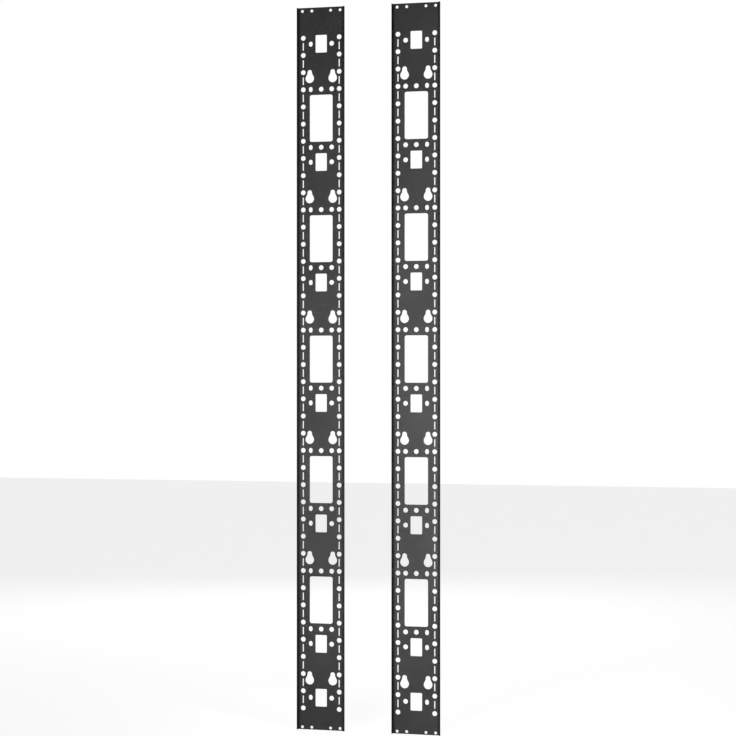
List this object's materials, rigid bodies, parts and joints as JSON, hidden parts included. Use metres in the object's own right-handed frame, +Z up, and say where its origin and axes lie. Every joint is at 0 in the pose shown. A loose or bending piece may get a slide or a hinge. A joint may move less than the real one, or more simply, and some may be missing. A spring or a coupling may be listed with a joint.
{
  "type": "vertical cable manager",
  "caption": "Tall perforated steel cable-management strips for an equipment rack, each a shallow channel with keyholes, cable windows and strap slots.",
  "frame": {"origin": "centre of the bounding box's bottom: midway between the two strips, midway through their depth, level with their lower ends", "axes": "+Z up the strips' length, +X from the left strip to the right strip as seen from the open side of the channels, +Y from the open side towards the flat backs"},
  "size_m": [0.381, 0.01, 1.8669],
  "materials": {
    "powder_coat": "fine-textured black powder coat on folded sheet steel, semi-matt"
  },
  "bodies": {
    "root": {"left_strip": "powder_coat", "right_strip": "powder_coat"}
  },
  "joints": []
}
